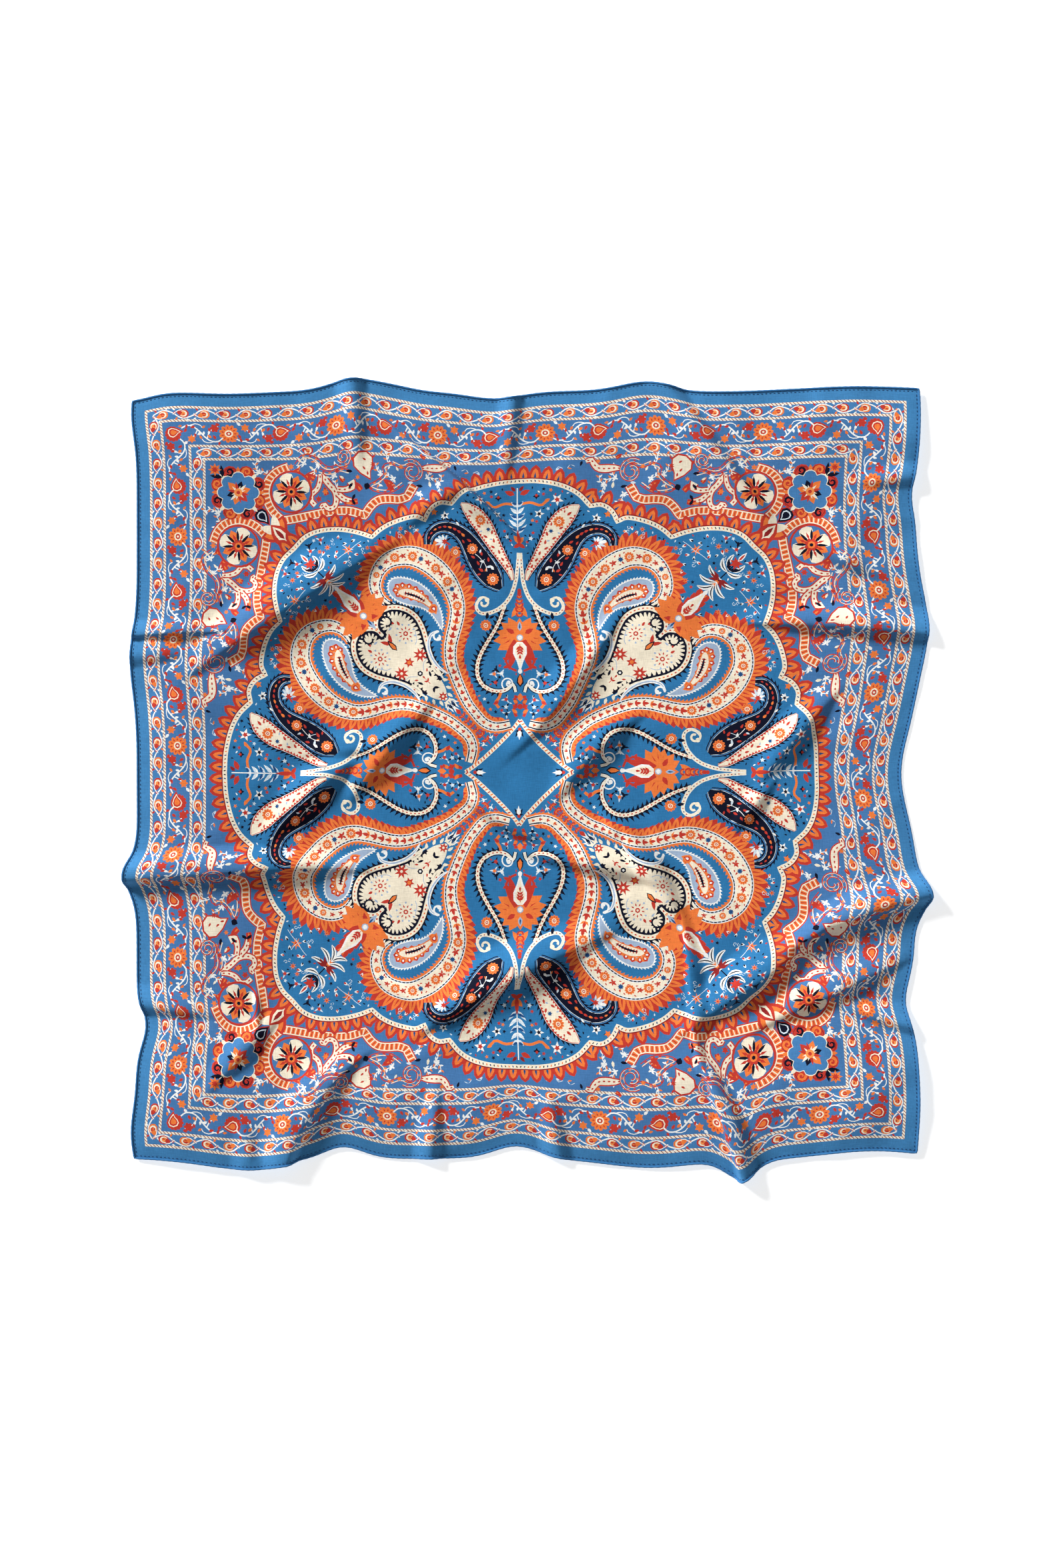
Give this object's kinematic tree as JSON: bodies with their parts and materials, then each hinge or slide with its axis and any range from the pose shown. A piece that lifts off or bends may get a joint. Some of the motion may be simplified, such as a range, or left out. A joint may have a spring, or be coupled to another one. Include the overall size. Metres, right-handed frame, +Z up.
{
  "type": "silk square scarf",
  "caption": "Square silk scarf with a rolled hem and a paisley medallion print, laid flat on a table with soft ridges where the cloth was not pulled smooth.",
  "frame": {"origin": "middle of the laid scarf's box, on the table under it", "axes": "+Z up off the table, +Y towards the scarf's top edge as laid, +X towards its right edge"},
  "size_m": [0.8976, 0.8916, 0.0173],
  "materials": {
    "printed_silk": "soft satin silk with a printed paisley medallion",
    "hem_silk": "soft satin silk, darker blue"
  },
  "bodies": {
    "root": {"silk_panel": "printed_silk", "rolled_hem": "hem_silk"}
  },
  "joints": []
}
